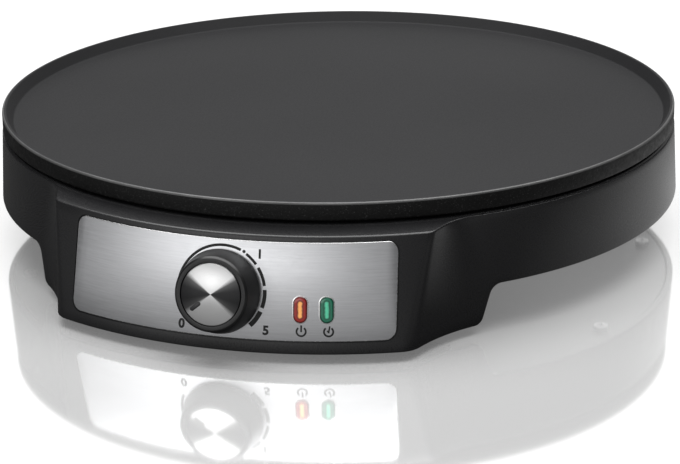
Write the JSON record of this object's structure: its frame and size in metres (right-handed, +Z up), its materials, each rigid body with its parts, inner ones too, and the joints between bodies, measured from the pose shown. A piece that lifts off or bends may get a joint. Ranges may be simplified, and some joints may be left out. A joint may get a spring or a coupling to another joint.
{
  "type": "electric crepe maker",
  "caption": "Low round countertop crepe maker: cast cooking plate with a raised rim on a plastic housing, front control pod with steel panel, knob and two lamps, no lid.",
  "frame": {"origin": "middle of the whole object's footprint, at the height of the counter", "axes": "-Y towards the person who turns the knob, +X to that person's right, +Z up; the plate's axis is 13.63 mm behind the origin"},
  "size_m": [0.319, 0.352, 0.062],
  "materials": {
    "cast_plate": "dark coated casting, matte",
    "housing_plastic": "fine satin moulding",
    "panel_steel": "brushed sideways",
    "knob_plastic": "satin moulding",
    "knob_aluminium": "turned in circles",
    "pointer_black": "moulded black insert",
    "red_lens": "clear tinted moulding",
    "green_lens": "clear tinted moulding",
    "clear_glass": "clear",
    "rubber": "matte",
    "screw_steel": "zinc plated",
    "bare_steel": "rolled sheet",
    "spring_steel": "spring steel",
    "element_steel": "dull tube",
    "brass": "turned",
    "copper": "drawn tube",
    "brown_plastic": "moulded",
    "white_plastic": "moulded",
    "brown_wire": "sleeved wire",
    "blue_wire": "sleeved wire",
    "white_wire": "sleeved wire"
  },
  "bodies": {
    "housing": {"cooking_plate": "cast_plate", "housing_shell": "housing_plastic", "base_cover": "housing_plastic", "base_screws": "screw_steel", "control_panel": "panel_steel", "red_lens": "red_lens", "green_lens": "green_lens", "cord_gland": "rubber", "front_feet": "rubber", "rear_feet": "rubber", "heating_element": "element_steel", "element_terminals": "screw_steel", "element_clamps": "bare_steel", "clamp_screws": "screw_steel", "heat_shield": "bare_steel", "plate_spacers": "bare_steel", "plate_screws": "screw_steel", "thermostat_body": "brown_plastic", "thermostat_plate": "bare_steel", "thermostat_bushing": "brass", "thermostat_screws": "screw_steel", "sensing_bulb": "copper", "capillary_tube": "copper", "bulb_clip": "bare_steel", "bulb_clip_screw": "screw_steel", "red_lamp": "clear_glass", "green_lamp": "clear_glass", "lamp_holder": "white_plastic", "thermal_fuse": "bare_steel", "fuse_clip": "bare_steel", "fuse_clip_screw": "screw_steel", "terminal_block": "white_plastic", "terminal_screws": "screw_steel", "cord_clamp": "white_plastic", "cord_clamp_screws": "screw_steel", "earth_tag": "brass", "earth_screw": "screw_steel", "live_wire": "brown_wire", "neutral_wire": "blue_wire", "element_wire": "white_wire", "lamp_wire": "white_wire"},
    "knob": {"knob_body": "knob_plastic", "knob_cap": "knob_aluminium", "knob_pointer": "pointer_black", "knob_clip": "spring_steel", "thermostat_shaft": "screw_steel"}
  },
  "joints": [
    {"name": "knob_turn", "type": "hinge", "parent": "housing", "child": "knob", "pos_m": [0, -0.16076, 0.028], "axis": [0, 0.9724, -0.2334], "range_deg": [0, 265]}
  ]
}
